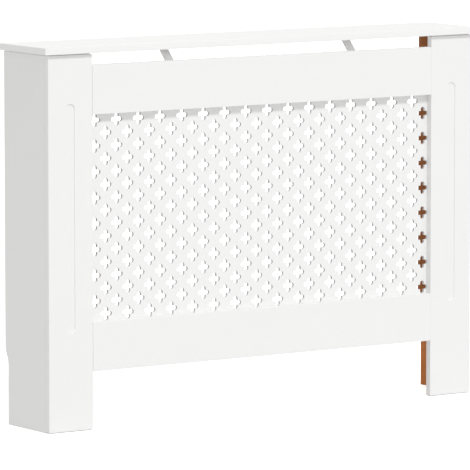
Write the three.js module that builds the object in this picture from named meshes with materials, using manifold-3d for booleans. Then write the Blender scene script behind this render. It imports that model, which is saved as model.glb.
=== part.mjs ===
// A radiator cover cabinet: a shelf on two side panels, with a framed lattice front.
// All sizes are in millimetres. X runs along the width, the front looks along -Y and Z points up.
// The origin lies on the floor, at the centre of the cover's outline.

import * as THREE from 'three';
import { mergeVertices } from 'three/addons/utils/BufferGeometryUtils.js';
import Module from 'manifold-3d';

const wasm = await Module();
wasm.setup();

// ---- Driving dimensions ----

// Body
const bodyWidth = 1098;
const bodyDepth = 178;
const bodyHeight = 800;
const sideThickness = 15;
const frontThickness = 15;

// Shelf
const shelfThickness = 15;
const shelfSideOverhang = 11;
const shelfFrontOverhang = 8;

// Front frame: the gap under it, its rails and the gap over it
const postWidth = 109;
const bottomGap = 125;
const bottomRailHeight = 105;
const topRailHeight = 105;
const topGap = 25;

// Routed flute in each post
const fluteWidth = 21;
const fluteDepth = 2.2;
const fluteBottom = 211;
const fluteTopInset = 105;

// Cut-out over the skirting board, at the back of each side panel
const skirtingDepth = 12;
const skirtingHeight = 126;
const skirtingCurveHeight = 45;

// Lattice panel, and its four-pointed holes in two staggered grids that sit a little to the right
const latticeThickness = 6;
const latticeLap = 20;
const latticePitch = 55;
const latticeOffset = 1.8;
const holeLobes = 4;
const holeTip = 14;
const holeWaist = 5.6;

// Steel straps that tie the top rail to the shelf
const strapFromPost = 203.6;
const strapWidth = 22;
const strapThickness = 2;
const strapFlange = 38;
const strapSlope = 45;
const strapScrewFromBend = 10;
const strapScrewSpacing = 17;

// Battens in the front corners
const battenSize = 20;
const battenFloorGap = 20;
const battenShelfGap = 25;
const battenPostScrewInset = 90;
const battenSideScrewInset = 130;

// Angles under the shelf, one at each side panel
const angleLeg = 30;
const angleWidth = 20;
const angleThickness = 2;
const angleFromFront = 70;
const angleScrewFromBend = 18;

// Wall brackets at the back edge of each side panel
const bracketLeg = 32;
const bracketHeight = 30;
const bracketThickness = 2;
const bracketBelowShelf = 88;
const bracketScrewFromBend = 18;
const bracketScrewSpacing = 16;
const wallHoleDiameter = 5;
const wallHoleFromBend = 16;

// Dowels
const dowelDiameter = 8;
const railDowelLength = 40;
const railDowelSpacing = 60;
const shelfDowelInSide = 12;
const shelfDowelFrontInset = 50;
const shelfDowelRearInset = 28;

// Pan-head screws
const shankDiameter = 3.4;
const tipLength = 3;
const headDiameter = 7;
const headHeight = 1.8;
const latticeScrewFromPost = 40;
const latticeScrewFromEdge = 9;

// What a screw or dowel leaves of the board that it ends in, and the room around it in its hole
const endWall = 5;
const clearance = 0.3;

// How finely round shapes are made, and how far a cutter runs past the face that it opens
const drillSides = 8;
const curveSteps = 8;
const overrun = 1;

// ---- Places worked out from the sizes ----

const halfWidth = bodyWidth / 2;
const backY = (bodyDepth + shelfFrontOverhang) / 2;
const frontY = backY - bodyDepth;
const frameBackY = frontY + frontThickness;
const latticeBackY = frameBackY + latticeThickness;
const openingHalfWidth = halfWidth - postWidth;
const openingBottom = bottomGap + bottomRailHeight;
const topRailTop = bodyHeight - topGap;
const openingTop = topRailTop - topRailHeight;
const sideInnerX = halfWidth - sideThickness;
const latticeScrewRows = {
  top: openingTop + latticeLap - latticeScrewFromEdge,
  bottom: openingBottom - latticeLap + latticeScrewFromEdge,
};
const latticeScrewPlaces = [-1, 0, 1].map((step) => step * (openingHalfWidth - latticeScrewFromPost));
const SIDES = [{ side: 'left', sign: -1 }, { side: 'right', sign: 1 }];

// ---- Materials ----

const finish = (color, roughness, metalness) =>
  new THREE.MeshStandardMaterial({ color, roughness, metalness });
const whitePaint = finish(0xf4f4f3, 0.45, 0);
const rawTimber = finish(0xb98d5c, 0.8, 0);
const beech = finish(0xcfa878, 0.7, 0);
const zincSteel = finish(0xb9bcbf, 0.4, 0.9);

// ---- Helpers ----

const X = new THREE.Vector3(1, 0, 0);
const Y = new THREE.Vector3(0, 1, 0);
const Z = new THREE.Vector3(0, 0, 1);
const FORWARD = new THREE.Vector3(0, -1, 0);
const at = (x, y, z) => new THREE.Vector3(x, y, z);
const flat = (u, v) => new THREE.Vector2(u, v);

const cover = new THREE.Group();
cover.name = 'radiator_cover';

function addPart(name, geometry, material, position) {
  const mesh = new THREE.Mesh(geometry, material);
  mesh.name = name;
  mesh.position.copy(position);
  cover.add(mesh);
  return mesh;
}

// A closed geometry as a solid that can be cut
function toSolid(geometry) {
  const bare = geometry.clone();
  bare.deleteAttribute('normal');
  bare.deleteAttribute('uv');
  const merged = mergeVertices(bare);
  const vertProperties = new Float32Array(merged.attributes.position.array);
  const triVerts = new Uint32Array(merged.index.array);
  return new wasm.Manifold(new wasm.Mesh({ numProp: 3, vertProperties, triVerts }));
}

function toGeometry(solid) {
  const { vertProperties, triVerts } = solid.getMesh();
  const geometry = new THREE.BufferGeometry();
  geometry.setAttribute('position', new THREE.BufferAttribute(vertProperties, 3));
  geometry.setIndex(new THREE.BufferAttribute(triVerts, 1));
  geometry.computeVertexNormals();
  return geometry;
}

// Adds a blank at its place, less the cutters, which lie where they are in the whole cover
function addCut(name, blank, material, position, cutters) {
  let solid = toSolid(blank);
  for (const cutter of cutters) {
    const local = cutter.clone().translate(-position.x, -position.y, -position.z);
    solid = solid.subtract(toSolid(local));
  }
  return addPart(name, toGeometry(solid), material, position);
}

// Cutters that the fixings leave for each piece, by the piece's name
const holes = {};
const holesOf = (name) => holes[name] ?? [];

function leaveHole(cutter, names) {
  for (const name of names) {
    holes[name] = [...holesOf(name), cutter];
  }
}

// A rectangular piece between two corners
function addBoard(name, material, low, high, cutters = []) {
  const size = new THREE.Vector3().subVectors(high, low);
  const middle = new THREE.Vector3().addVectors(low, high).multiplyScalar(0.5);
  const blank = new THREE.BoxGeometry(size.x, size.y, size.z);
  return addCut(name, blank, material, middle, [...holesOf(name), ...cutters]);
}

// An outline extruded to an even thickness that lies half on each side of its plane
function extrude(outline, thickness) {
  const settings = { depth: thickness, bevelEnabled: false, curveSegments: curveSteps };
  return new THREE.ExtrudeGeometry(outline, settings).translate(0, 0, -thickness / 2);
}

// Stand an extruded outline up: its plane becomes YZ, or XZ
const standInYZ = (geometry) => geometry.applyMatrix4(new THREE.Matrix4().makeBasis(Y, Z, X));
const standInXZ = (geometry) => geometry.applyMatrix4(new THREE.Matrix4().makeBasis(X, Z, FORWARD));

// The outline of a strip that is bent along a path, its thickness to the right of the path
function bentStrip(path, thickness) {
  const normals = path.slice(1).map((point, i) => {
    const run = point.clone().sub(path[i]).normalize();
    return flat(run.y, -run.x);
  });
  const innerFace = path.map((point, i) => {
    const before = normals[Math.max(i - 1, 0)];
    const after = normals[Math.min(i, normals.length - 1)];
    const mitre = before.clone().add(after).divideScalar(1 + before.dot(after));
    return point.clone().addScaledVector(mitre, thickness);
  });
  return new THREE.Shape([...path, ...innerFace.reverse()]);
}

// An L with equal legs: one runs down the second axis from the bend, the other towards the middle
function angleOutline(sign, leg, thickness) {
  return bentStrip([flat(0, -leg), flat(0, 0), flat(-sign * leg, 0)], -sign * thickness);
}

// ---- Fixings ----

const turnTo = (direction) => new THREE.Quaternion().setFromUnitVectors(Y, direction);

// A pan-head screw: its head rests on seat and its shank runs along direction, through what it holds
// and into the board that it ends in. pieces names both.
function addScrew(name, seat, direction, heldThickness, boardThickness, pieces) {
  const length = heldThickness + boardThickness - endWall;
  const shank = shankDiameter / 2;
  const profile = [
    flat(0, -headHeight),
    flat(headDiameter / 2, -headHeight),
    flat(headDiameter / 2, 0),
    flat(shank, 0),
    flat(shank, length - tipLength),
    flat(0, length),
  ];
  const screw = addPart(name, new THREE.LatheGeometry(profile, drillSides), zincSteel, seat);
  screw.quaternion.copy(turnTo(direction));

  const radius = shank + clearance;
  const depth = length + clearance;
  const hole = new THREE.CylinderGeometry(radius, radius, depth + overrun, drillSides);
  hole.translate(0, (depth - overrun) / 2, 0);
  hole.applyQuaternion(screw.quaternion).translate(seat.x, seat.y, seat.z);
  leaveHole(hole, pieces);
}

// A dowel with its middle at centre, let into the named pieces
function addDowel(name, centre, direction, length, pieces) {
  const radius = dowelDiameter / 2;
  const shape = new THREE.CylinderGeometry(radius, radius, length, drillSides);
  const dowel = addPart(name, shape, beech, centre);
  dowel.quaternion.copy(turnTo(direction));

  const bore = radius + clearance;
  const hole = new THREE.CylinderGeometry(bore, bore, length + 2 * clearance, drillSides);
  hole.applyQuaternion(dowel.quaternion).translate(centre.x, centre.y, centre.z);
  leaveHole(hole, pieces);
}

function addRailDowels({ side, sign }) {
  const rails = {
    top_rail: openingTop + topRailHeight / 2,
    bottom_rail: openingBottom - bottomRailHeight / 2,
  };
  for (const [rail, middle] of Object.entries(rails)) {
    [-1, 1].forEach((step, i) => {
      const centre = at(sign * openingHalfWidth, frontY + frontThickness / 2,
        middle + step * railDowelSpacing / 2);
      addDowel(`${side}_${rail}_dowel_${i + 1}`, centre, X, railDowelLength, [rail, `${side}_front_post`]);
    });
  }
}

function addShelfDowels({ side, sign }) {
  const inShelf = shelfThickness - endWall;
  const length = shelfDowelInSide + inShelf;
  [frontY + shelfDowelFrontInset, backY - shelfDowelRearInset].forEach((y, i) => {
    const centre = at(sign * (halfWidth - sideThickness / 2), y, bodyHeight + inShelf - length / 2);
    addDowel(`${side}_shelf_dowel_${i + 1}`, centre, Z, length, ['top_board', `${side}_side_panel`]);
  });
}

function addLatticeScrews() {
  for (const [row, z] of Object.entries(latticeScrewRows)) {
    latticeScrewPlaces.forEach((x, i) => {
      addScrew(`lattice_${row}_screw_${i + 1}`, at(x, latticeBackY, z), FORWARD,
        latticeThickness, frontThickness, ['lattice_panel', `${row}_rail`]);
    });
  }
}

// ---- Hardware ----

// A strap rises from the top edge of the rail to the shelf, with a flange screwed to each
function addStrap({ side, sign }) {
  const name = `${side}_top_strap`;
  const x = sign * (openingHalfWidth - strapFromPost);
  const run = topGap / Math.tan(THREE.MathUtils.degToRad(strapSlope));
  const shelfEnd = run + strapFlange;
  const path = [flat(0, -strapFlange), flat(0, 0), flat(run, topGap), flat(shelfEnd, topGap)];
  const blank = standInYZ(extrude(bentStrip(path, strapThickness), strapWidth));

  [0, 1].forEach((step, i) => {
    const fromBend = strapScrewFromBend + step * strapScrewSpacing;
    const railSeat = at(x, frameBackY + strapThickness, topRailTop - fromBend);
    const shelfSeat = at(x, frameBackY + run + fromBend, bodyHeight - strapThickness);
    addScrew(`${name}_rail_screw_${i + 1}`, railSeat, FORWARD, strapThickness, frontThickness,
      [name, 'top_rail']);
    addScrew(`${name}_shelf_screw_${i + 1}`, shelfSeat, Z, strapThickness, shelfThickness,
      [name, 'top_board']);
  });
  addCut(name, blank, zincSteel, at(x, frameBackY, topRailTop), holesOf(name));
}

// An angle joins the shelf to the inner face of a side panel
function addShelfAngle({ side, sign }) {
  const name = `${side}_shelf_angle`;
  const y = frontY + angleFromFront;
  const blank = standInXZ(extrude(angleOutline(sign, angleLeg, angleThickness), angleWidth));

  const sideSeat = at(sign * (sideInnerX - angleThickness), y, bodyHeight - angleScrewFromBend);
  const shelfSeat = at(sign * (sideInnerX - angleScrewFromBend), y, bodyHeight - angleThickness);
  addScrew(`${name}_side_screw`, sideSeat, at(sign, 0, 0), angleThickness, sideThickness,
    [name, `${side}_side_panel`]);
  addScrew(`${name}_shelf_screw`, shelfSeat, Z, angleThickness, shelfThickness, [name, 'top_board']);
  addCut(name, blank, zincSteel, at(sign * sideInnerX, y, bodyHeight), holesOf(name));
}

// A wall bracket has one leg on the side panel and one flat against the wall, with a hole in it
function addWallBracket({ side, sign }) {
  const name = `${side}_wall_bracket`;
  const z = bodyHeight - bracketBelowShelf;
  const blank = extrude(angleOutline(sign, bracketLeg, bracketThickness), bracketHeight);

  [-1, 1].forEach((step, i) => {
    const seat = at(sign * (sideInnerX - bracketThickness), backY - bracketScrewFromBend,
      z + step * bracketScrewSpacing / 2);
    addScrew(`${name}_screw_${i + 1}`, seat, at(sign, 0, 0), bracketThickness, sideThickness,
      [name, `${side}_side_panel`]);
  });
  const wallHole = new THREE.CylinderGeometry(wallHoleDiameter / 2, wallHoleDiameter / 2,
    2 * bracketThickness + 2 * overrun, drillSides);
  wallHole.translate(sign * (sideInnerX - wallHoleFromBend), backY, z);
  addCut(name, blank, zincSteel, at(sign * sideInnerX, backY, z), [...holesOf(name), wallHole]);
}

// A batten fills the corner between a post and its side panel, and is screwed to both
function addCornerBatten({ side, sign }) {
  const name = `${side}_corner_batten`;
  const bottom = battenFloorGap;
  const top = bodyHeight - battenShelfGap;
  const innerX = sideInnerX - battenSize;
  const rearY = frameBackY + battenSize;

  [bottom + battenPostScrewInset, top - battenPostScrewInset].forEach((z, i) => {
    const seat = at(sign * (innerX + battenSize / 2), rearY, z);
    addScrew(`${name}_post_screw_${i + 1}`, seat, FORWARD, battenSize, frontThickness,
      [name, `${side}_front_post`]);
  });
  [bottom + battenSideScrewInset, top - battenSideScrewInset].forEach((z, i) => {
    const seat = at(sign * innerX, frameBackY + battenSize / 2, z);
    addScrew(`${name}_side_screw_${i + 1}`, seat, at(sign, 0, 0), battenSize, sideThickness,
      [name, `${side}_side_panel`]);
  });
  const [lowX, highX] = [sign * innerX, sign * sideInnerX].sort((a, b) => a - b);
  addBoard(name, rawTimber, at(lowX, frameBackY, bottom), at(highX, rearY, top));
}

// ---- Boards ----

// The flute is a slot with round ends, routed into the front of a post
function fluteCutter(x) {
  const radius = fluteWidth / 2;
  const outline = new THREE.Shape();
  outline.absarc(0, bodyHeight - fluteTopInset - radius, radius, 0, Math.PI);
  outline.absarc(0, fluteBottom + radius, radius, Math.PI, 2 * Math.PI);
  const cutter = standInXZ(extrude(outline, fluteDepth + overrun));
  return cutter.translate(x, frontY + (fluteDepth - overrun) / 2, 0);
}

function addPost({ side, sign }) {
  const [lowX, highX] = [sign * openingHalfWidth, sign * halfWidth].sort((a, b) => a - b);
  addBoard(`${side}_front_post`, whitePaint, at(lowX, frontY, 0), at(highX, frameBackY, bodyHeight),
    [fluteCutter((lowX + highX) / 2)]);
}

function addRail(name, bottom, top) {
  addBoard(name, whitePaint, at(-openingHalfWidth, frontY, bottom), at(openingHalfWidth, frameBackY, top));
}

// A side panel steps in over the skirting board by an S-curve
function addSidePanel({ side, sign }) {
  const notchY = backY - skirtingDepth;
  const curveTop = skirtingHeight + skirtingCurveHeight;
  const curveMiddle = skirtingHeight + skirtingCurveHeight / 2;
  const outline = new THREE.Shape();
  outline.moveTo(frameBackY, 0);
  outline.lineTo(notchY, 0);
  outline.lineTo(notchY, skirtingHeight);
  outline.bezierCurveTo(notchY, curveMiddle, backY, curveMiddle, backY, curveTop);
  outline.lineTo(backY, bodyHeight);
  outline.lineTo(frameBackY, bodyHeight);
  const blank = standInYZ(extrude(outline, sideThickness));
  const name = `${side}_side_panel`;
  addCut(name, blank, whitePaint, at(sign * (halfWidth - sideThickness / 2), 0, 0), holesOf(name));
}

// A hole with its corners evenly around a place, at the given reaches in turn
function cornered(x, z, corners, reaches) {
  const points = [];
  for (let i = 0; i < corners; i += 1) {
    const angle = 2 * Math.PI * i / corners;
    const reach = reaches[i % reaches.length];
    points.push(flat(x + reach * Math.cos(angle), z + reach * Math.sin(angle)));
  }
  return new THREE.Path(points);
}

// Two grids of holes, half a pitch apart, fill the opening from edge to edge
function addLattice() {
  const right = openingHalfWidth + latticeLap;
  const bottom = openingBottom - latticeLap;
  const top = openingTop + latticeLap;
  const outline = new THREE.Shape([flat(-right, bottom), flat(right, bottom), flat(right, top),
    flat(-right, top)]);
  const columns = Math.floor(2 * openingHalfWidth / latticePitch);
  const rows = Math.floor((openingTop - openingBottom) / latticePitch);
  const firstX = latticeOffset - columns * latticePitch / 2 + latticePitch / 4;
  const firstZ = (openingTop + openingBottom + rows * latticePitch) / 2 - latticePitch / 4;
  for (const shift of [0, latticePitch / 2]) {
    for (let column = 0; column < columns; column += 1) {
      for (let row = 0; row < rows; row += 1) {
        const x = firstX + shift + column * latticePitch;
        const z = firstZ - shift - row * latticePitch;
        outline.holes.push(cornered(x, z, 2 * holeLobes, [holeTip, holeWaist * Math.SQRT2]));
      }
    }
  }
  for (const z of Object.values(latticeScrewRows)) {
    for (const x of latticeScrewPlaces) {
      outline.holes.push(cornered(x, z, drillSides, [shankDiameter / 2 + clearance]));
    }
  }
  const panel = standInXZ(extrude(outline, latticeThickness));
  addPart('lattice_panel', panel, whitePaint, at(0, frameBackY + latticeThickness / 2, 0));
}

// ---- The whole cover: the fixings come first, because they leave holes in the boards ----

addLatticeScrews();
for (const end of SIDES) {
  addRailDowels(end);
  addShelfDowels(end);
  addStrap(end);
  addShelfAngle(end);
  addWallBracket(end);
  addCornerBatten(end);
  addPost(end);
  addSidePanel(end);
}
addLattice();
addRail('bottom_rail', bottomGap, openingBottom);
addRail('top_rail', openingTop, topRailTop);
addBoard('top_board', whitePaint,
  at(-halfWidth - shelfSideOverhang, frontY - shelfFrontOverhang, bodyHeight),
  at(halfWidth + shelfSideOverhang, backY, bodyHeight + shelfThickness));

export default cover;
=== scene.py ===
import math

import bmesh
import bpy
from bpy.props import FloatProperty, FloatVectorProperty, IntProperty, PointerProperty
from mathutils import Matrix, Vector


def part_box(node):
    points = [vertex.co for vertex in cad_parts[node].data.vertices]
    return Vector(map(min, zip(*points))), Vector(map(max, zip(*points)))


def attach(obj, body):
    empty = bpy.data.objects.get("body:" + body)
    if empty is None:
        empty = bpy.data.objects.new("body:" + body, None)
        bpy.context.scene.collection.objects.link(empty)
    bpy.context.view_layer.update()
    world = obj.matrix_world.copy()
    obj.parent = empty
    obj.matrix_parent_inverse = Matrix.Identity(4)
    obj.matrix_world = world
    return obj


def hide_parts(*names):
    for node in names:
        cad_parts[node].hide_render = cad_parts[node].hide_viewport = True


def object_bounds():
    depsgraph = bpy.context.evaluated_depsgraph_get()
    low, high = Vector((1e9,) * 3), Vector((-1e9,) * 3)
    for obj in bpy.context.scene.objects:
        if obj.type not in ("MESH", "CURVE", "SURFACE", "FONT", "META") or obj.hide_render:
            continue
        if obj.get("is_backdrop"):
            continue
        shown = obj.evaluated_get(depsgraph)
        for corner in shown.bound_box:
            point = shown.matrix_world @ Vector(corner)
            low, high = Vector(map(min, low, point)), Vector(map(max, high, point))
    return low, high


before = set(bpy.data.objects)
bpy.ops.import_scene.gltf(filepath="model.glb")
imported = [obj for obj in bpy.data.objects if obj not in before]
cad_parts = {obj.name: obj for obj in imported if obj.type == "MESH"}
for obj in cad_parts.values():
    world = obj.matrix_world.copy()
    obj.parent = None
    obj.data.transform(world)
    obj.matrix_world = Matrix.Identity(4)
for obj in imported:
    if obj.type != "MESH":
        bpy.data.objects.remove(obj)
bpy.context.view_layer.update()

bl_info = {
    "name": "Radiator Cover",
    "version": (1, 0, 0),
    "blender": (4, 5, 0),
    "location": "3D View > Sidebar > Radiator Cover",
    "description": "Models and finishes a painted radiator cover around its CAD frame",
    "category": "Add Mesh",
}

MM = 0.001
TINY = 0.01 * MM
BODY = "root"
SIDES = (("left", -1), ("right", 1))
X, Y, Z = Vector((1, 0, 0)), Vector((0, 1, 0)), Vector((0, 0, 1))

# A face looks a way if the cosine between them is over FACING, and lies along it if the cosine is
# under ALONG. An edge is sharp if its two faces turn by more than SHARP.
FACING, ALONG = 0.9, 0.3
SHARP = math.radians(60)

# With no window, the spin operator turns against its axis
SPIN_SIGN = -1

# Steps round a whole circle, and steps along a curve or a bend
FLUTE_STEPS, DOWEL_STEPS, SCREW_STEPS, WALL_HOLE_STEPS = 32, 24, 16, 32
SKIRTING_STEPS, BEND_STEPS = 12, 5


# ---- Sizes and colours ----

def linear(code):
    """A colour written as an sRGB hex value, as linear light."""
    levels = [int(code[i:i + 2], 16) / 255 for i in (0, 2, 4)]
    return [v / 12.92 if v <= 0.04045 else ((v + 0.055) / 1.055) ** 2.4 for v in levels]


def length(name, description, millimetres):
    return FloatProperty(name=name, description=description, default=millimetres * MM,
                         min=0, unit="LENGTH", precision=5)


def colour(name, description, code):
    return FloatVectorProperty(name=name, description=description, default=linear(code),
                               subtype="COLOR", min=0, max=1)


class CoverSizes(bpy.types.PropertyGroup):
    """Sizes that the CAD frame leaves to the finished model"""

    edge: length("Eased edge", "Radius that the paint shop sands on the boards", 1.1)
    corner: length("Front corner", "Radius on the outer upright edge of each post", 1.8)
    joint: length("Joint edge", "Radius where one board is butted against another", 0.7)
    shelf_gap: length("Gap under shelf", "Height of the thin gap between a board and the shelf", 2)
    shelf_gap_depth: length("Shelf gap depth", "How far the gap under the shelf runs in", 4.5)
    rail_gap: length("Gap at rail", "Width of the crack between a rail and the left post", 0.4)
    foot_gap: length("Gap at foot", "Height of the gap between a post's edge and the floor", 1.8)
    crack_depth: length("Crack depth", "How far the gaps at rail and foot run in", 2.5)
    flute_width: length("Flute width", "Width of the routed flute in each post", 21)
    flute_depth: length("Flute depth", "Depth of the flute", 2.2)
    flute_bottom: length("Flute bottom", "Height of the flute's lower end", 211)
    flute_top: length("Flute top", "Height of the flute's upper end", 695)
    flute_floor: length("Flute floor edge", "Radius where the flute's wall meets its floor", 0.9)
    flute_rim: length("Flute rim", "Radius on the front edge of the flute", 0.4)
    skirting_height: length("Skirting height", "Height of the straight part of the notch", 126)
    skirting_depth: length("Skirting depth", "Depth of the notch", 12)
    skirting_curve: length("Skirting curve", "Height of the curve over the notch", 45)
    pitch: length("Lattice pitch", "Spacing of the holes in each of the two grids", 55)
    offset: length("Lattice offset", "How far right of the middle the holes sit", 1.8)
    hole_reach: length("Hole reach", "From the middle of a hole to the tip of a lobe", 14)
    lobe: length("Lobe radius", "Radius of the round end of each lobe", 5)
    waist: length("Hole waist", "From the middle of a hole to the corner between two lobes", 5)
    rim: length("Hole rim", "Bevel round the front of each lattice hole", 0.5)
    batten_edge: length("Batten edge", "Radius on the edges of the battens", 0.8)
    dowel_chamfer: length("Dowel chamfer", "Chamfer on the ends of the dowels", 1)
    steel: length("Steel thickness", "Thickness of the straps, angles and brackets", 2)
    bend: length("Bend radius", "Inside radius of each bend in the steel", 1)
    strip_corner: length("Strip corner", "Radius on the ends of the steel strips", 4)
    strip_edge: length("Strip edge", "Bevel along the edges of the steel strips", 0.25)
    strap_flange: length("Strap flange", "Length of each flange of a strap", 38)
    wall_hole: length("Wall hole", "Diameter of the hole in a wall bracket", 5)
    wall_hole_inset: length("Wall hole inset", "From the bend to the middle of that hole", 16)
    screw_head: length("Screw head", "Diameter of a screw's head", 7)
    screw_rise: length("Screw rise", "Height of a screw's head", 1.8)
    screw_shank: length("Screw shank", "Diameter over a screw's thread", 3.4)
    thread: length("Thread pitch", "Spacing of the thread's ridges", 1.5)
    lobe_steps: IntProperty(name="Lobe steps", default=8, min=4, max=16,
                            description="Edges in the round end of each lobe")


class CoverColours(bpy.types.PropertyGroup):
    """Colours of the finishes"""

    paint: colour("Paint", "Satin paint on the boards", "EFEFEE")
    # The shelf's paint is the same satin paint, made a little whiter
    shelf_paint: colour("Shelf paint", "The paint on the shelf, which has one more coat", "F1F1F0")
    # The holes' paint is greyer as painted shade on the shaded walls of the holes
    hole_shade_paint: colour("Thin paint", "The little paint that reaches the holes' walls", "CDCDCE")
    board: colour("Board", "Sanded face of the bare fibreboard", "B27341")
    fibre: colour("Fibre", "Darker fibres in the bare board", "885126")
    zinc: colour("Zinc", "Plated steel", "FAFBFC")
    early_wood: colour("Early wood", "Pale growth in the battens", "DDBD8C")
    late_wood: colour("Late wood", "Dark growth in the battens", "B98A52")
    beech: colour("Beech", "Ground colour of the dowels", "D2AB7C")
    fleck: colour("Fleck", "Rays in the beech", "A97B4C")
    floor: colour("Floor", "Pale studio floor", "E0E0E0")


# ---- Materials ----

def add_node(tree, kind, inputs=None, **settings):
    """Adds a node with its settings. Each input is a value, or the socket that feeds it."""
    node = tree.nodes.new(kind)
    for name, value in settings.items():
        setattr(node, name, value)
    for name, value in (inputs or {}).items():
        if isinstance(value, bpy.types.NodeSocket):
            tree.links.new(value, node.inputs[name])
        else:
            node.inputs[name].default_value = value
    return node


def empty_tree(owner):
    """The node tree of a material or a world, with nothing in it."""
    owner.use_nodes = True
    owner.node_tree.nodes.clear()
    return owner.node_tree


def new_material(name):
    """A material, its node tree, and the place on the piece that its patterns read."""
    material = bpy.data.materials.new(name)
    tree = empty_tree(material)
    place = add_node(tree, "ShaderNodeTexCoord").outputs["Object"]
    return material, tree, place


def rgba(values):
    """A linear colour with full opacity."""
    return (*values, 1)


def per_metre(millimetres):
    """Scale of a noise whose lumps are about this wide."""
    return 1 / (millimetres * MM)


def sprayed_paint(name, paint):
    # Sprayed satin lacquer on sanded fibreboard. The eye sees an even soft white, a dull sheen, and
    # close up the faint dimples of the spray. On the shelf it is a little whiter. In the lattice
    # holes it is greyer, which is painted shade on the shaded walls of the holes.
    material, tree, place = new_material(name)
    drift = add_node(tree, "ShaderNodeTexNoise",
                     {"Vector": place, "Scale": per_metre(180), "Detail": 2})
    tone = add_node(tree, "ShaderNodeMapRange",
                    {"Value": drift.outputs["Fac"], "From Min": 0.3, "From Max": 0.7,
                     "To Min": 0.99, "To Max": 1.0})
    tint = add_node(tree, "ShaderNodeMix",
                    {0: 1.0, 6: rgba(paint), 7: tone.outputs["Result"]},
                    data_type="RGBA", blend_type="MULTIPLY")
    dimples = add_node(tree, "ShaderNodeTexNoise",
                       {"Vector": place, "Scale": per_metre(1.8), "Detail": 1})
    gloss = add_node(tree, "ShaderNodeMapRange",
                     {"Value": drift.outputs["Fac"], "To Min": 0.38, "To Max": 0.5})
    bump = add_node(tree, "ShaderNodeBump",
                    {"Height": dimples.outputs["Fac"], "Strength": 0.12, "Distance": 0.05 * MM})
    skin = add_node(tree, "ShaderNodeBsdfPrincipled",
                    {"Base Color": tint.outputs[2], "Roughness": gloss.outputs["Result"],
                     "Normal": bump.outputs["Normal"], "IOR": 1.48})
    add_node(tree, "ShaderNodeOutputMaterial", {"Surface": skin.outputs["BSDF"]})
    return material


def bare_fibreboard(colours):
    # Medium density fibreboard, sanded and left bare. The eye sees warm brown felt with short dark
    # and pale fibres lying every way, a little cloudy, with no grain and no shine. Near the foot it
    # is painted paler and higher up a shade darker, as painted light from the floor, as on the
    # strip of it under the bottom rail in the photo.
    material, tree, place = new_material("bare_fibreboard")
    clouds = add_node(tree, "ShaderNodeTexNoise",
                      {"Vector": place, "Scale": per_metre(35), "Detail": 3})
    fibres = add_node(tree, "ShaderNodeTexNoise",
                      {"Vector": place, "Scale": per_metre(1.6), "Detail": 5, "Roughness": 0.75,
                       "Distortion": 1.5})
    blend = add_node(tree, "ShaderNodeMapRange",
                     {"Value": fibres.outputs["Fac"], "From Min": 0.42, "From Max": 0.72})
    speckle = add_node(tree, "ShaderNodeMix",
                       {0: blend.outputs["Result"], 6: rgba(colours.board), 7: rgba(colours.fibre)},
                       data_type="RGBA")
    shade = add_node(tree, "ShaderNodeMapRange",
                     {"Value": clouds.outputs["Fac"], "From Min": 0.3, "From Max": 0.7,
                      "To Min": 0.88, "To Max": 1.05})
    height = add_node(tree, "ShaderNodeSeparateXYZ", {"Vector": place})
    # Painted light: the board is painted paler towards the foot, where the floor throws light up on
    # it
    painted_floor_light = add_node(tree, "ShaderNodeMapRange",
                      {"Value": height.outputs["Z"], "From Min": 60 * MM, "From Max": 260 * MM,
                       "To Min": 1.85, "To Max": 0.98}, interpolation_type="SMOOTHSTEP")
    tone = add_node(tree, "ShaderNodeMath",
                    {0: shade.outputs["Result"], 1: painted_floor_light.outputs["Result"]},
                    operation="MULTIPLY")
    tint = add_node(tree, "ShaderNodeMix",
                    {0: 1.0, 6: speckle.outputs[2], 7: tone.outputs[0]},
                    data_type="RGBA", blend_type="MULTIPLY")
    bump = add_node(tree, "ShaderNodeBump",
                    {"Height": fibres.outputs["Fac"], "Strength": 0.3, "Distance": 0.15 * MM})
    skin = add_node(tree, "ShaderNodeBsdfPrincipled",
                    {"Base Color": tint.outputs[2], "Roughness": 0.88, "IOR": 1.45,
                     "Normal": bump.outputs["Normal"]})
    add_node(tree, "ShaderNodeOutputMaterial", {"Surface": skin.outputs["BSDF"]})
    return material


def plated_steel(colours):
    # Mild steel, zinc plated after it was cut and bent, and dull. The eye sees a pale grey with a
    # faint blurred sheen, small clouds in the plating and fine rolling lines.
    material, tree, place = new_material("zinc_plated_steel")
    clouds = add_node(tree, "ShaderNodeTexNoise",
                      {"Vector": place, "Scale": per_metre(6), "Detail": 3})
    squeeze = add_node(tree, "ShaderNodeMapping", {"Vector": place, "Scale": (1, 0.06, 0.06)})
    lines = add_node(tree, "ShaderNodeTexNoise",
                     {"Vector": squeeze.outputs["Vector"], "Scale": per_metre(0.5), "Detail": 2})
    shade = add_node(tree, "ShaderNodeMapRange",
                     {"Value": clouds.outputs["Fac"], "From Min": 0.3, "From Max": 0.7,
                      "To Min": 0.94, "To Max": 1.0})
    tint = add_node(tree, "ShaderNodeMix",
                    {0: 1.0, 6: rgba(colours.zinc), 7: shade.outputs["Result"]},
                    data_type="RGBA", blend_type="MULTIPLY")
    gloss = add_node(tree, "ShaderNodeMapRange",
                     {"Value": clouds.outputs["Fac"], "To Min": 0.5, "To Max": 0.65})
    bump = add_node(tree, "ShaderNodeBump",
                    {"Height": lines.outputs["Fac"], "Strength": 0.15, "Distance": 0.03 * MM})
    skin = add_node(tree, "ShaderNodeBsdfPrincipled",
                    {"Base Color": tint.outputs[2], "Metallic": 0.25,
                     "Roughness": gloss.outputs["Result"], "Normal": bump.outputs["Normal"]})
    add_node(tree, "ShaderNodeOutputMaterial", {"Surface": skin.outputs["BSDF"]})
    return material


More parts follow.
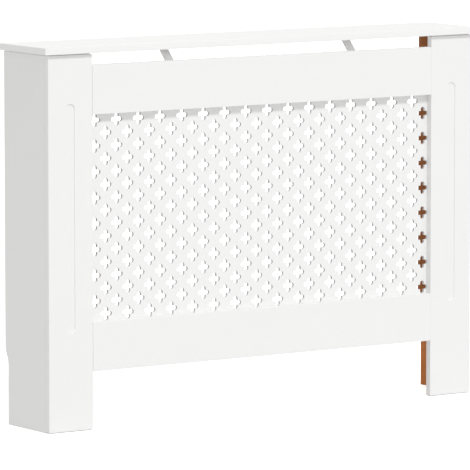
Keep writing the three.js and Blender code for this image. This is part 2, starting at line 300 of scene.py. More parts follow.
def planed_spruce(colours):
    # Spruce, planed with blunt knives and left bare. The eye sees pale straw with fine fibres up
    # the batten, and a darker band of late wood that wanders a little. Real bands lie about 3 mm
    # apart. These lie 37.7 mm apart along a face, by a slip in the scale, which is much too wide.
    material, tree, place = new_material("planed_spruce")
    stretch = add_node(tree, "ShaderNodeMapping", {"Vector": place, "Scale": (1, 1, 0.04)})
    wander = add_node(tree, "ShaderNodeTexNoise",
                      {"Vector": stretch.outputs["Vector"], "Scale": per_metre(14), "Detail": 2})
    sway = add_node(tree, "ShaderNodeVectorMath",
                    {0: wander.outputs["Color"], 1: (6 * MM, 6 * MM, 0)}, operation="MULTIPLY")
    lines = add_node(tree, "ShaderNodeVectorMath",
                     {0: stretch.outputs["Vector"], 1: sway.outputs[0]}, operation="ADD")
    metres_per_band = math.tau / 10  # in a diagonal wave of scale 1
    rings = add_node(tree, "ShaderNodeTexWave",
                     {"Vector": lines.outputs[0], "Scale": per_metre(37.7) * metres_per_band,
                      "Distortion": 1.2, "Detail": 2, "Detail Scale": 2},
                     bands_direction="DIAGONAL")
    fine = add_node(tree, "ShaderNodeTexNoise",
                    {"Vector": stretch.outputs["Vector"], "Scale": per_metre(0.7), "Detail": 3})
    fade = add_node(tree, "ShaderNodeMapRange",
                    {"Value": rings.outputs["Fac"], "From Min": 0.35, "From Max": 1.0,
                     "To Min": 0.0, "To Max": 0.85})
    grain = add_node(tree, "ShaderNodeMix",
                     {0: fade.outputs["Result"], 6: rgba(colours.early_wood),
                      7: rgba(colours.late_wood)}, data_type="RGBA")
    shade = add_node(tree, "ShaderNodeMapRange",
                     {"Value": fine.outputs["Fac"], "From Min": 0.3, "From Max": 0.7,
                      "To Min": 0.86, "To Max": 1.04})
    tint = add_node(tree, "ShaderNodeMix",
                    {0: 1.0, 6: grain.outputs[2], 7: shade.outputs["Result"]},
                    data_type="RGBA", blend_type="MULTIPLY")
    bump = add_node(tree, "ShaderNodeBump",
                    {"Height": fine.outputs["Fac"], "Strength": 0.35, "Distance": 0.2 * MM})
    skin = add_node(tree, "ShaderNodeBsdfPrincipled",
                    {"Base Color": tint.outputs[2], "Roughness": 0.78,
                     "Normal": bump.outputs["Normal"]})
    add_node(tree, "ShaderNodeOutputMaterial", {"Surface": skin.outputs["BSDF"]})
    return material


def turned_beech(colours, name, stretch):
    # Beech, turned and left bare. The eye sees a plain tan with short brown flecks along the dowel.
    material, tree, place = new_material(name)
    squeeze = add_node(tree, "ShaderNodeMapping", {"Vector": place, "Scale": stretch})
    flecks = add_node(tree, "ShaderNodeTexNoise",
                      {"Vector": squeeze.outputs["Vector"], "Scale": per_metre(0.6), "Detail": 2,
                       "Roughness": 0.6})
    spots = add_node(tree, "ShaderNodeMapRange",
                     {"Value": flecks.outputs["Fac"], "From Min": 0.52, "From Max": 0.68})
    tint = add_node(tree, "ShaderNodeMix",
                    {0: spots.outputs["Result"], 6: rgba(colours.beech), 7: rgba(colours.fleck)},
                    data_type="RGBA")
    bump = add_node(tree, "ShaderNodeBump",
                    {"Height": flecks.outputs["Fac"], "Strength": 0.2, "Distance": 0.1 * MM})
    skin = add_node(tree, "ShaderNodeBsdfPrincipled",
                    {"Base Color": tint.outputs[2], "Roughness": 0.66,
                     "Normal": bump.outputs["Normal"]})
    add_node(tree, "ShaderNodeOutputMaterial", {"Surface": skin.outputs["BSDF"]})
    return material


def make_finishes():
    """Every finish on the cover, by its short name."""
    colours = bpy.context.scene.cover_colours
    return {
        "paint": sprayed_paint("sprayed_satin_paint", colours.paint),
        "shelf_paint": sprayed_paint("whiter_satin_paint", colours.shelf_paint),
        # The greyer paint in the holes is painted shade
        "hole_shade_paint": sprayed_paint("satin_paint_painted_hole_shade", colours.hole_shade_paint),
        "board": bare_fibreboard(colours),
        "steel": plated_steel(colours),
        "spruce": planed_spruce(colours),
        "beech_across": turned_beech(colours, "turned_beech_across", (0.12, 1, 1)),
        "beech_upright": turned_beech(colours, "turned_beech_upright", (1, 1, 0.12)),
    }


FINISHES = {}


def finish_named(name):
    """A finish by its short name. All are made together, the first time that one is asked for."""
    if not FINISHES:
        FINISHES.update(make_finishes())
    return FINISHES[name]


# ---- Modelling ----

def edit():
    bpy.ops.object.mode_set(mode="EDIT")


def leave_edit():
    if bpy.context.object and bpy.context.object.mode != "OBJECT":
        bpy.ops.object.mode_set(mode="OBJECT")


def deselect():
    leave_edit()
    bpy.ops.object.select_all(action="DESELECT")


def take(piece):
    """Selects one object alone and makes it the active one."""
    deselect()
    bpy.context.view_layer.objects.active = piece
    piece.select_set(True)


def drop(helper):
    """Deletes an object that isn't a piece of its own, with its mesh."""
    bpy.data.meshes.remove(helper.data)


def settle(name):
    """Names the new object and puts its place into its mesh."""
    piece = bpy.context.object
    piece.name = piece.data.name = name
    bpy.ops.object.transform_apply(location=True, rotation=True, scale=True)
    return piece


def add_block(name, low, high):
    """A block between two corners."""
    deselect()
    low, high = Vector(low), Vector(high)
    bpy.ops.mesh.primitive_cube_add(size=1, location=(low + high) / 2, scale=high - low)
    return settle(name)


def add_rectangle(name, centre, width, height, turn):
    """A flat rectangle about a centre, turned out of the XY plane."""
    deselect()
    bpy.ops.mesh.primitive_plane_add(size=1, location=centre, rotation=turn)
    bpy.context.object.scale = (width, height, 1)
    return settle(name)


def middle(item):
    """The middle of a vertex, edge or face."""
    if isinstance(item, bmesh.types.BMVert):
        return item.co
    points = [vert.co for vert in item.verts]
    return sum(points, Vector()) / len(points)


def facing(normal, way):
    """Whether a face with this normal looks that way."""
    return normal.dot(way) > FACING


def is_sharp(edge):
    """Whether two faces meet at this edge and turn sharply there."""
    return edge.calc_face_angle(0) > SHARP


def pick(kind, test):
    """Selects the vertices, edges or faces that pass a test, in edit mode."""
    bpy.ops.mesh.select_mode(type=kind)
    bpy.ops.mesh.select_all(action="DESELECT")
    data = bpy.context.object.data
    mesh = bmesh.from_edit_mesh(data)
    items = {"VERT": mesh.verts, "EDGE": mesh.edges, "FACE": mesh.faces}[kind]
    chosen = [item for item in items if test(item)]
    if not chosen:
        raise RuntimeError(f"{data.name}: the test selects nothing")
    for item in chosen:
        item.select_set(True)
    bmesh.update_edit_mesh(data)


def pick_all(kind="FACE"):
    bpy.ops.mesh.select_mode(type=kind)
    bpy.ops.mesh.select_all(action="SELECT")


def extrude(step):
    bpy.ops.mesh.extrude_region_move(TRANSFORM_OT_translate={"value": step})


def move(step):
    bpy.ops.transform.translate(value=step)


def bevel(width, segments):
    bpy.ops.mesh.bevel(offset=width, segments=segments, affect="EDGES")


def ease_sharp_edges(width, segments, sharper_than=25):
    """Rounds every edge where two faces meet at more than so many degrees."""
    bpy.ops.mesh.select_mode(type="EDGE")
    bpy.ops.mesh.select_all(action="DESELECT")
    bpy.ops.mesh.edges_select_sharp(sharpness=math.radians(sharper_than))
    bevel(width, segments)


def turn_normals_out():
    pick_all()
    bpy.ops.mesh.normals_make_consistent(inside=False)


def check_closed(piece):
    """Stops the script if a piece has an open or a doubled edge."""
    mesh = bmesh.new()
    mesh.from_mesh(piece.data)
    loose = sum(not edge.is_manifold for edge in mesh.edges)
    mesh.free()
    if loose:
        raise RuntimeError(f"{piece.name}: {loose} edges aren't shared by two faces")


def cut_away(piece, cutter):
    """Cuts one object's shape out of a piece, and deletes the cutter."""
    take(piece)
    cut = piece.modifiers.new("cut", "BOOLEAN")
    cut.operation, cut.solver, cut.object = "DIFFERENCE", "EXACT", cutter
    bpy.ops.object.modifier_apply(modifier=cut.name)
    drop(cutter)


def hand_over(piece, finishes, nodes, finish_of=None, smooth_below=50):
    """Finishes a piece: its shading, its materials, what it rides on and which CAD nodes it is.

    Edges of fewer degrees than smooth_below shade round, while the flats between them stay level.
    finish_of gives the number of a face's finish from the normal of the face.
    """
    take(piece)
    check_closed(piece)
    bpy.ops.object.shade_smooth_by_angle(angle=math.radians(smooth_below))
    level = piece.modifiers.new("level", "WEIGHTED_NORMAL")
    level.keep_sharp = True
    bpy.ops.object.modifier_apply(modifier=level.name)
    for name in finishes:
        piece.data.materials.append(finish_named(name))
    for face in piece.data.polygons:
        face.material_index = int(finish_of(face.normal)) if finish_of else 0
    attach(piece, BODY)
    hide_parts(*nodes)


def opening():
    """The opening in the front: its left, right, bottom and top edges."""
    return (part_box("left_front_post")[1].x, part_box("right_front_post")[0].x,
            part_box("bottom_rail")[1].z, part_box("top_rail")[0].z)


# ---- Boards ----

def make_shelf(sizes):
    piece = add_block("shelf", *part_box("top_board"))
    edit()
    ease_sharp_edges(sizes.edge, segments=3)
    hand_over(piece, ("shelf_paint",), ["top_board"])


def leave_gap(way, width, depth):
    """Raises the middle of the end face on one side, so that a thin dark gap shows round it."""
    verts = bmesh.from_edit_mesh(bpy.context.object.data).verts
    end = max(vert.co.dot(way) for vert in verts)
    pick("FACE", lambda face: facing(face.normal, way) and middle(face).dot(way) > end - TINY)
    bpy.ops.mesh.inset(thickness=depth)
    extrude(way * width)


def make_rail(sizes, name):
    low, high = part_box(name)
    low.x += sizes.rail_gap
    piece = add_block(f"{name}_board", low, high)
    edit()
    ease_sharp_edges(sizes.joint, segments=2)
    leave_gap(-X, sizes.rail_gap, sizes.crack_depth)
    hand_over(piece, ("paint", "board"), [name], lambda normal: facing(normal, Y))


def make_post(sizes, side, sign):
    node = f"{side}_front_post"
    low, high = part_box(node)
    low.z += sizes.foot_gap
    high.z -= sizes.shelf_gap
    piece = add_block(f"{side}_post_board", low, high)
    radius = sizes.flute_width / 2
    floor_y = low.y + sizes.flute_depth
    axis_x = (low.x + high.x) / 2
    centre = Vector((axis_x, low.y, sizes.flute_bottom + radius))
    margin = 10 * MM

    # The front is cut into a grid, whose middle makes room for the flute
    edit()
    for way, place in ((X, axis_x - radius - margin), (X, axis_x + radius + margin),
                       (Z, sizes.flute_bottom - margin), (Z, sizes.flute_top + margin)):
        pick("FACE", lambda face: facing(face.normal, -Y))
        bpy.ops.mesh.bisect(plane_co=way * place, plane_no=way)
    pick("FACE", lambda face: facing(face.normal, -Y) and abs(middle(face).x - axis_x) < TINY
         and sizes.flute_bottom < middle(face).z < sizes.flute_top)
    bpy.ops.mesh.delete(type="ONLY_FACE")
    bpy.ops.mesh.select_mode(type="EDGE")
    bpy.ops.mesh.primitive_circle_add(vertices=FLUTE_STEPS, radius=radius, location=centre,
                                      rotation=(math.pi / 2, math.pi / FLUTE_STEPS, 0))

    def on_flute(item, y):
        """Whether something lies on or inside the flute's outline, at one depth."""
        place = middle(item)
        return abs(place.y - y) < TINY and abs(place.x - axis_x) < radius + TINY \
            and sizes.flute_bottom - TINY < place.z < sizes.flute_top + TINY

    pick("VERT", lambda vert: on_flute(vert, low.y) and vert.co.z > centre.z)
    move(Z * (sizes.flute_top - sizes.flute_bottom - 2 * radius))
    pick("EDGE", lambda edge: edge.is_boundary or edge.is_wire)
    bpy.ops.mesh.fill(use_beauty=True)
    pick("EDGE", lambda edge: on_flute(edge, low.y) and edge.is_boundary)
    extrude(Y * sizes.flute_depth)
    bpy.ops.mesh.edge_face_add()
    turn_normals_out()
    pick("EDGE", lambda edge: on_flute(edge, floor_y) and is_sharp(edge))
    bevel(sizes.flute_floor, segments=3)
    pick("EDGE", lambda edge: on_flute(edge, low.y) and is_sharp(edge))
    bevel(sizes.flute_rim, segments=2)

    # The gaps come before the rounded corner, because an inset deeper than its radius would fold
    leave_gap(Z, sizes.shelf_gap, sizes.shelf_gap_depth)
    leave_gap(-Z, sizes.foot_gap, sizes.crack_depth)
    outer = high.x if sign > 0 else low.x
    pick("EDGE", lambda edge: all(abs(vert.co.x - outer) < TINY and abs(vert.co.y - low.y) < TINY
                                  for vert in edge.verts))
    bevel(sizes.corner, segments=4)
    pick("EDGE", lambda edge: is_sharp(edge) and edge.is_convex
         and low.z - TINY < middle(edge).z < high.z + TINY
         and not on_flute(edge, low.y) and not on_flute(edge, floor_y))
    bevel(sizes.joint, segments=2)
    hand_over(piece, ("paint", "board"), [node], lambda normal: facing(normal, Y))


def make_side(sizes, side, sign):
    node = f"{side}_side_panel"
    low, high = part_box(node)
    high.z -= sizes.shelf_gap
    piece = add_block(f"{side}_side_board", low, high)
    start, rise, depth = sizes.skirting_height, sizes.skirting_curve, sizes.skirting_depth

    # The notch ends in an S: a cubic that leaves and arrives upright, its handles half its height
    curve = []
    for i in range(SKIRTING_STEPS + 1):
        t = i / SKIRTING_STEPS
        height = start + rise * (1.5 * t * (1 - t) + t ** 3)
        curve.append((height, depth * (1 - 3 * t ** 2 + 2 * t ** 3)))
    edit()
    for height, _ in curve:
        pick_all()
        bpy.ops.mesh.bisect(plane_co=Z * height, plane_no=Z)
    for height, offset in [(low.z, depth)] + curve[:-1]:
        pick("VERT", lambda vert: abs(vert.co.z - height) < TINY and abs(vert.co.y - high.y) < TINY)
        move(Y * -offset)
    ease_sharp_edges(sizes.joint, segments=2, sharper_than=40)
    leave_gap(Z, sizes.shelf_gap, sizes.shelf_gap_depth)
    hand_over(piece, ("paint", "board"), [node],
              lambda normal: facing(normal, X * -sign))


def make_lattice(sizes):
    low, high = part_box("lattice_panel")
    left, right, bottom, top = opening()
    pitch, reach, lobe, waist = sizes.pitch, sizes.hole_reach, sizes.lobe, sizes.waist
    columns, rows = round((right - left) / pitch), round((top - bottom) / pitch)
    upright = (math.pi / 2, 0, 0)
    long_edge = pitch / 3

    # One hole, a quarter of the pitch in from the opening's corner: an arc and two straights for
    # one lobe, then three more lobes at right angles, in the diamond that belongs to the hole
    centre = Vector((left + sizes.offset + pitch / 4, low.y, top - pitch / 4))
    lobe_x = centre.x + reach - lobe
    deselect()
    bpy.ops.mesh.primitive_circle_add(vertices=2 * sizes.lobe_steps, radius=lobe, rotation=upright,
                                      location=centre + X * (reach - lobe))
    piece = settle("lattice")
    edit()
    pick("VERT", lambda vert: vert.co.x < lobe_x - TINY)
    bpy.ops.mesh.delete(type="VERT")
    pick("VERT", lambda vert: abs(vert.co.x - lobe_x) < TINY)
    extrude(X * (waist - (reach - lobe)))
    pick_all("EDGE")
    bpy.ops.mesh.spin(steps=3, angle=1.5 * math.pi, dupli=True, center=centre, axis=Y)
    pick_all("EDGE")
    bpy.ops.mesh.remove_doubles(threshold=TINY)
    bpy.ops.mesh.primitive_circle_add(vertices=4, radius=pitch / 2, rotation=upright,
                                      location=centre)
    pick_all("EDGE")
    bpy.ops.mesh.fill(use_beauty=True)

    # The second grid lies half a pitch along and half a pitch down
    pick_all()
    bpy.ops.mesh.duplicate_move(TRANSFORM_OT_translate={"value": (pitch / 2, 0, -pitch / 2)})
    leave_edit()
    for step, count in ((X * pitch, columns), (Z * -pitch, rows)):
        row = piece.modifiers.new("row", "ARRAY")
        row.use_relative_offset, row.use_constant_offset = False, True
        row.constant_offset_displace, row.count = step, count
        bpy.ops.object.modifier_apply(modifier=row.name)

    # The border that lies behind the frame, filled between its outline and the diamonds
    border = add_rectangle("border", ((low.x + high.x) / 2, low.y, (low.z + high.z) / 2),
                           high.x - low.x, high.z - low.z, upright)
    edit()
    pick_all()
    bpy.ops.mesh.delete(type="ONLY_FACE")
    take(piece)
    border.select_set(True)
    bpy.ops.object.join()
    edit()
    pick_all()
    bpy.ops.mesh.remove_doubles(threshold=TINY)
    pick("EDGE", lambda edge: (edge.is_boundary or edge.is_wire) and edge.calc_length() > long_edge)
    bpy.ops.mesh.fill(use_beauty=True)

    # The panel's thickness, and a rim round each hole, none of whose edges is a long one
    pick_all()
    extrude(Y * (high.y - low.y))
    turn_normals_out()
    pick("EDGE", lambda edge: abs(middle(edge).y - low.y) < TINY and is_sharp(edge)
         and left - pitch / 2 < middle(edge).x < right + pitch / 2
         and edge.calc_length() < long_edge)
    bevel(sizes.rim, segments=1)

    def finish_of(normal):
        """Full paint in front and on the rims, bare at the back, and in the holes a greyer paint
        that is painted shade.
        """
        if facing(normal, Y):
            return 1
        return 2 if abs(normal.y) < ALONG else 0

    hand_over(piece, ("paint", "board", "hole_shade_paint"), ["lattice_panel"], finish_of,
              smooth_below=40)


# ---- Battens and dowels ----

# A dowel's radius in its grooves, as a share of the whole, and how far each dowel is turned on
# from the one before, in radians
GROOVE = 0.93
DOWEL_TURN = 0.4


def make_batten(sizes, side):
    node = f"{side}_corner_batten"
    piece = add_block(f"{side}_batten", *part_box(node))
    edit()
    ease_sharp_edges(sizes.batten_edge, segments=2)
    hand_over(piece, ("spruce",), [node])


def turn_rings(name, rings, steps):
    """A turned shape up the Z axis, from rings of (radius, height), by extrusion and scaling."""
    deselect()
    radius, height = rings[0]
    bpy.ops.mesh.primitive_circle_add(vertices=steps, radius=radius, fill_type="NGON",
                                      location=Z * height)
    piece = settle(name)
    edit()
    pick_all()
    for next_radius, next_height in rings[1:]:
        extrude(Z * (next_height - height))
        ratio = next_radius / radius
        bpy.ops.transform.resize(value=(ratio, ratio, 1), center_override=Z * next_height)
        radius, height = next_radius, next_height
    turn_normals_out()
    return piece


def copy_to(model, name, place, direction, turn):
    """A copy with its own mesh, turned about its Z axis, which then lies along direction."""
    take(model)
    bpy.ops.object.duplicate(linked=False)
    copy = bpy.context.object
    along = Z.rotation_difference(direction).to_matrix().to_4x4()
    copy.matrix_world = Matrix.Translation(place) @ along @ Matrix.Rotation(turn, 4, "Z")
    return settle(name)


def make_dowels(sizes, names, axis, finish):
    low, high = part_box(names[0])
    end, radius = (high - low).dot(axis) / 2, min(high - low) / 2
    chamfer = sizes.dowel_chamfer
    rings = [(radius - chamfer, -end), (radius, chamfer - end),
             (radius, end - chamfer), (radius - chamfer, end)]
    model = turn_rings("dowel_model", rings, DOWEL_STEPS)

    def in_groove(vert):
        """Whether a vertex lies in a groove, as every second one round the dowel does."""
        corner = round(math.atan2(vert.co.y, vert.co.x) / math.tau * DOWEL_STEPS)
        return corner % 2 == 0

    pick("VERT", in_groove)
    bpy.ops.transform.resize(value=(GROOVE, GROOVE, 1), center_override=(0, 0, 0))
    leave_edit()
    for i, node in enumerate(names):
        low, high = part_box(node)
        piece = copy_to(model, f"{node}_grooved", (low + high) / 2, axis, DOWEL_TURN * i)
        hand_over(piece, (finish,), [node])
    drop(model)


# ---- Steel ----

# A pan head from its top to its seat, as shares of its radius and of its height
PAN_HEAD = ((0.55, 1), (0.78, 0.93), (0.93, 0.74), (1, 0.45), (1, 0.06), (0.96, 0))

# Each arm of the cross recess in a screw's head
ARM_WIDTH, ARM_LENGTH, ARM_DEPTH = 0.85 * MM, 1.25 * MM, 1.1 * MM

# A screw's core and the end of its point, as shares of the radius over its thread
CORE, POINT = 0.72, 0.06
POINT_LENGTH = 3 * MM

# Where a ridge of the thread starts and how wide it is, as shares of the pitch
RIDGE_START, RIDGE = 0.35, 0.6

# How far each screw is turned on from the one before, in radians
SCREW_TURN = 0.7


def bent_strip(name, corners, width, sizes):
    """A steel strip bent along a line of corners. Its thickness lies inside the bends."""
    thickness, outer = sizes.steel, sizes.bend + sizes.steel
    corners = [Vector(corner) for corner in corners]
    runs = [(b - a).normalized() for a, b in zip(corners, corners[1:])]
    inward = [(b - a * a.dot(b)).normalized() for a, b in zip(runs, runs[1:])]
    first = inward[0]
    across = first.cross(runs[0])
    turn = Matrix((across, first, runs[0])).transposed().to_euler()
    piece = add_rectangle(name, corners[0] + first * thickness / 2, width, thickness, turn)
    edit()
    pick_all()
    place = corners[0]
    for i, run in enumerate(runs[:-1]):
        angle = run.angle(runs[i + 1])
        setback = outer * math.tan(angle / 2)
        tangent = corners[i + 1] - run * setback
        extrude(tangent - place)
        bpy.ops.mesh.spin(steps=BEND_STEPS, angle=SPIN_SIGN * angle,
                          center=tangent + inward[i] * outer, axis=run.cross(inward[i]))
        place = corners[i + 1] + runs[i + 1] * setback
    extrude(corners[-1] - place)
    turn_normals_out()

    def at_end(edge):
        """Whether an edge is one of the four short ones at the ends of the strip."""
        spot = middle(edge)
        return abs(edge.calc_length() - thickness) < TINY and any(
            abs((spot - end).dot(run)) < TINY and (spot - end).length < width
            for end, run in ((corners[0], runs[0]), (corners[-1], runs[-1])))

    pick("EDGE", at_end)
    bevel(sizes.strip_corner, segments=6)
    ease_sharp_edges(sizes.strip_edge, segments=1, sharper_than=50)
    leave_edit()
    return piece


def make_strap(sizes, side):
    node = f"{side}_top_strap"
    low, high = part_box(node)
    x = (low.x + high.x) / 2
    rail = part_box("top_rail")[1]
    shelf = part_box("top_board")[0].z
    rise = shelf - rail.z
    flange = sizes.strap_flange
    corners = [(x, rail.y, rail.z - flange), (x, rail.y, rail.z), (x, rail.y + rise, shelf),
               (x, rail.y + rise + flange, shelf)]
    piece = bent_strip(f"{side}_strap", corners, high.x - low.x, sizes)
    hand_over(piece, ("steel",), [node])


def make_angle(sizes, side, sign):
    node = f"{side}_shelf_angle"
    low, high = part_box(node)
    y = (low.y + high.y) / 2
    outer, inner = (high.x, low.x) if sign > 0 else (low.x, high.x)
    corners = [(outer, y, low.z), (outer, y, high.z), (inner, y, high.z)]
    piece = bent_strip(f"{side}_angle", corners, high.y - low.y, sizes)
    hand_over(piece, ("steel",), [node])


def make_wall_bracket(sizes, side, sign):
    node = f"{side}_wall_bracket"
    low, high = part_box(node)
    z = (low.z + high.z) / 2
    outer, inner = (high.x, low.x) if sign > 0 else (low.x, high.x)
    corners = [(outer, low.y, z), (outer, high.y, z), (inner, high.y, z)]
    piece = bent_strip(f"{side}_bracket", corners, high.z - low.z, sizes)

    # The wall hole's cutter is longer than the steel is thick, so that it passes right through
    deselect()
    bpy.ops.mesh.primitive_cylinder_add(
        vertices=WALL_HOLE_STEPS, radius=sizes.wall_hole / 2, depth=4 * sizes.steel,
        rotation=(math.pi / 2, 0, 0), location=(outer - sign * sizes.wall_hole_inset, high.y, z))
    cut_away(piece, settle("wall_hole"))
    hand_over(piece, ("steel",), [node])


def screw_model(sizes, size):
    """A pan-head wood screw down to size, its seat at zero: head, recess, ridged shank, point."""
    head, rise, shank = sizes.screw_head / 2, sizes.screw_rise, sizes.screw_shank / 2
    core, pitch = CORE * shank, sizes.thread
    rings = [(across * head, -up * rise) for across, up in PAN_HEAD] + [(core, 0)]
    for i in range(int((size - POINT_LENGTH) / pitch)):
        foot = (i + RIDGE_START) * pitch
        rings += [(core, foot), (shank, foot + RIDGE / 2 * pitch), (core, foot + RIDGE * pitch)]
    rings += [(core, size - POINT_LENGTH), (POINT * shank, size)]
    piece = turn_rings("screw_model", rings, SCREW_STEPS)

    # The recess's cutter is a post through the top of the head, with four arms
    half = ARM_WIDTH / 2
    cutter = add_block("recess", (-half, -half, -rise - ARM_DEPTH), (half, half, ARM_DEPTH - rise))
    edit()
    for way in (X, -X, Y, -Y):
        pick("FACE", lambda face: facing(face.normal, way)
             and middle(face).dot(way) < half + TINY and abs(middle(face).z + rise) < TINY)
        extrude(way * ARM_LENGTH)
    leave_edit()
    cut_away(piece, cutter)
    return piece


def way_of(node, sign):
    """The way that a screw points, from what it holds."""
    if "shelf_screw" in node:
        return Z
    if "rail_screw" in node or "post_screw" in node or node.startswith("lattice"):
        return -Y
    return X * sign


def make_screws(sizes):
    models = {}
    names = sorted(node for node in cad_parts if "_screw" in node)
    for i, node in enumerate(names):
        low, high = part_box(node)
        way = way_of(node, 1 if node.startswith("right") else -1)
        size = abs((high - low).dot(way)) - sizes.screw_rise
        key = round(size / MM, 1)
        if key not in models:
            models[key] = screw_model(sizes, size)
        seat = (low + high) / 2 - way * (size - sizes.screw_rise) / 2
        piece = copy_to(models[key], f"{node}_pan_head", seat, way, SCREW_TURN * i)
        hand_over(piece, ("steel",), [node])
    for model in models.values():
        drop(model)


# ---- Stage ----

# The paper's own share of white, and the level of the white sky that lights the cover
OWN_WHITE = 0.76
SKY_LEVEL = 0.673

# One soft lamp in front and above: its power in watts, the way to it, and its distance and its
# diameter in metres
KEY_POWER = 16600
KEY_WAY = Vector((-0.03, -1, 1.2)).normalized()
KEY_DISTANCE, KEY_SIZE = 60, 11

# The floor and the camera: metres, degrees, and millimetres for the lens and the sensor
FLOOR_SIZE = 80
CAMERA_PLACE = (-6.1092, -9.0868, 1.6277)
CAMERA_DOWN, CAMERA_ASIDE = 6.503, 33.817
CAMERA_LENS, CAMERA_SENSOR = 389.07, 36
CAMERA_SIGHT = 200


def white_for_the_eye(tree):
    """1 for rays from the camera, off a glossy surface or through glass, 0 for all the others."""
    rays = add_node(tree, "ShaderNodeLightPath")
    straight = add_node(tree, "ShaderNodeMath",
                        {0: rays.outputs["Is Camera Ray"], 1: rays.outputs["Is Glossy Ray"]},
                        operation="ADD", use_clamp=True)
    return add_node(tree, "ShaderNodeMath",
                    {0: straight.outputs[0], 1: rays.outputs["Is Transmission Ray"]},
                    operation="ADD", use_clamp=True).outputs[0]


def studio_floor(colours):
    # Seamless paper on the studio floor. The eye sees plain white with a soft contact shadow: a
    # share of the white is the paper's own, so that only a shadow takes it below white.
    material = bpy.data.materials.new("seamless_paper")
    tree = empty_tree(material)
    lit = add_node(tree, "ShaderNodeBsdfDiffuse", {"Color": rgba(colours.floor)})
    share = add_node(tree, "ShaderNodeMath", {0: white_for_the_eye(tree), 1: OWN_WHITE},
                     operation="MULTIPLY")
    white = add_node(tree, "ShaderNodeEmission",
                     {"Color": (1, 1, 1, 1), "Strength": share.outputs[0]})
    both = add_node(tree, "ShaderNodeAddShader", {0: lit.outputs[0], 1: white.outputs[0]})
    add_node(tree, "ShaderNodeOutputMaterial", {"Surface": both.outputs[0]})
    return material


def make_stage(scene):
    deselect()
    bpy.ops.mesh.primitive_plane_add(size=FLOOR_SIZE)
    floor = settle("floor")
    floor.data.materials.append(studio_floor(scene.cover_colours))
    floor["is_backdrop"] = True

    world = bpy.data.worlds.new("studio")
    scene.world = world
    tree = empty_tree(world)
    light = add_node(tree, "ShaderNodeBackground", {"Color": (1, 1, 1, 1), "Strength": SKY_LEVEL})
    white = add_node(tree, "ShaderNodeBackground", {"Color": (1, 1, 1, 1), "Strength": 1.0})
    blend = add_node(tree, "ShaderNodeMixShader",
                     {0: white_for_the_eye(tree), 1: light.outputs[0], 2: white.outputs[0]})
    add_node(tree, "ShaderNodeOutputWorld", {"Surface": blend.outputs[0]})

    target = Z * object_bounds()[1].z / 2
    bpy.ops.object.light_add(type="AREA", location=target + KEY_WAY * KEY_DISTANCE)
    key = bpy.context.object
    key.name = "soft_key"
    key.data.shape, key.data.size, key.data.energy = "DISK", KEY_SIZE, KEY_POWER
    key.rotation_euler = (-KEY_WAY).to_track_quat("-Z", "Y").to_euler()

    bpy.ops.object.camera_add(location=CAMERA_PLACE, rotation=(
        math.radians(90 - CAMERA_DOWN), 0, math.radians(-CAMERA_ASIDE)))
    camera = bpy.context.object
    camera.name = "camera"
    camera.data.sensor_width = CAMERA_SENSOR
    camera.data.lens = CAMERA_LENS
    camera.data.clip_end = CAMERA_SIGHT
    scene.camera = camera
    scene.view_settings.view_transform = "Standard"


# ---- Operators ----

class COVER_OT_shelf(bpy.types.Operator):
    """Model the overhanging shelf with its eased edges"""

    bl_idname = "radiator_cover.shelf"
    bl_label = "Shelf"

    def execute(self, context):
        make_shelf(context.scene.cover_sizes)
        return {"FINISHED"}


class COVER_OT_posts(bpy.types.Operator):
    """Model the two fluted posts"""

    bl_idname = "radiator_cover.posts"
    bl_label = "Posts"

    def execute(self, context):
        for side, sign in SIDES:
            make_post(context.scene.cover_sizes, side, sign)
        return {"FINISHED"}


class COVER_OT_rails(bpy.types.Operator):
    """Model the rails over and under the lattice"""

    bl_idname = "radiator_cover.rails"
    bl_label = "Rails"

    def execute(self, context):
        for name in ("top_rail", "bottom_rail"):
            make_rail(context.scene.cover_sizes, name)
        return {"FINISHED"}


class COVER_OT_sides(bpy.types.Operator):
    """Model the side panels with their notch for the skirting board"""

    bl_idname = "radiator_cover.sides"
    bl_label = "Side panels"

    def execute(self, context):
        for side, sign in SIDES:
            make_side(context.scene.cover_sizes, side, sign)
        return {"FINISHED"}


class COVER_OT_lattice(bpy.types.Operator):
    """Model the lattice panel with its four-lobed holes"""

    bl_idname = "radiator_cover.lattice"
    bl_label = "Lattice"

    def execute(self, context):
        make_lattice(context.scene.cover_sizes)
        return {"FINISHED"}


class COVER_OT_battens(bpy.types.Operator):
    """Model the battens in the front corners"""

    bl_idname = "radiator_cover.battens"
    bl_label = "Battens"

    def execute(self, context):
        for side, _ in SIDES:
            make_batten(context.scene.cover_sizes, side)
        return {"FINISHED"}


class COVER_OT_dowels(bpy.types.Operator):
    """Model the grooved dowels in the joints"""

    bl_idname = "radiator_cover.dowels"
    bl_label = "Dowels"

    def execute(self, context):
        sizes = context.scene.cover_sizes
        names = sorted(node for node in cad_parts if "_dowel_" in node)
        make_dowels(sizes, [name for name in names if "rail" in name], X, "beech_across")
        make_dowels(sizes, [name for name in names if "shelf" in name], Z, "beech_upright")
        return {"FINISHED"}


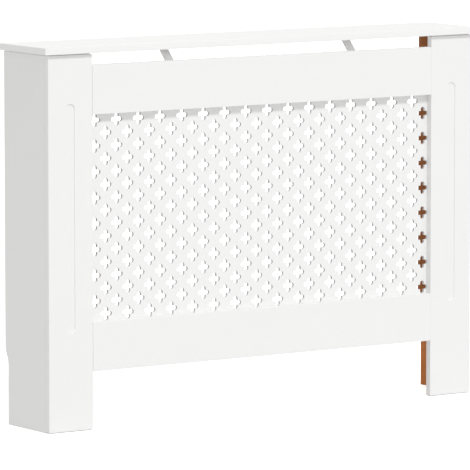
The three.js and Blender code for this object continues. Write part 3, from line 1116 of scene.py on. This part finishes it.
class COVER_OT_steelwork(bpy.types.Operator):
    """Model the straps, shelf angles and wall brackets"""

    bl_idname = "radiator_cover.steelwork"
    bl_label = "Steelwork"

    def execute(self, context):
        sizes = context.scene.cover_sizes
        for side, sign in SIDES:
            make_strap(sizes, side)
            make_angle(sizes, side, sign)
            make_wall_bracket(sizes, side, sign)
        return {"FINISHED"}


class COVER_OT_screws(bpy.types.Operator):
    """Model the pan-head screws"""

    bl_idname = "radiator_cover.screws"
    bl_label = "Screws"

    def execute(self, context):
        make_screws(context.scene.cover_sizes)
        return {"FINISHED"}


class COVER_OT_stage(bpy.types.Operator):
    """Set up the floor, light and camera"""

    bl_idname = "radiator_cover.stage"
    bl_label = "Stage"

    def execute(self, context):
        make_stage(context.scene)
        return {"FINISHED"}


STEPS = (COVER_OT_shelf, COVER_OT_posts, COVER_OT_rails, COVER_OT_sides, COVER_OT_lattice,
         COVER_OT_battens, COVER_OT_dowels, COVER_OT_steelwork, COVER_OT_screws, COVER_OT_stage)


class COVER_PT_panel(bpy.types.Panel):
    """The cover's steps, sizes and colours"""

    bl_label = "Radiator Cover"
    bl_idname = "COVER_PT_panel"
    bl_space_type = "VIEW_3D"
    bl_region_type = "UI"
    bl_category = "Radiator Cover"

    def draw(self, context):
        for step in STEPS:
            self.layout.operator(step.bl_idname)
        for group in (context.scene.cover_sizes, context.scene.cover_colours):
            column = self.layout.column()
            for name in group.__annotations__:
                column.prop(group, name)


CLASSES = (CoverSizes, CoverColours, *STEPS, COVER_PT_panel)


def register():
    for item in CLASSES:
        bpy.utils.register_class(item)
    bpy.types.Scene.cover_sizes = PointerProperty(type=CoverSizes)
    bpy.types.Scene.cover_colours = PointerProperty(type=CoverColours)


def unregister():
    del bpy.types.Scene.cover_colours
    del bpy.types.Scene.cover_sizes
    for item in reversed(CLASSES):
        bpy.utils.unregister_class(item)


def main():
    register()
    for step in STEPS:
        group, name = step.bl_idname.split(".")
        getattr(getattr(bpy.ops, group), name)()


if __name__ == "__main__":
    main()
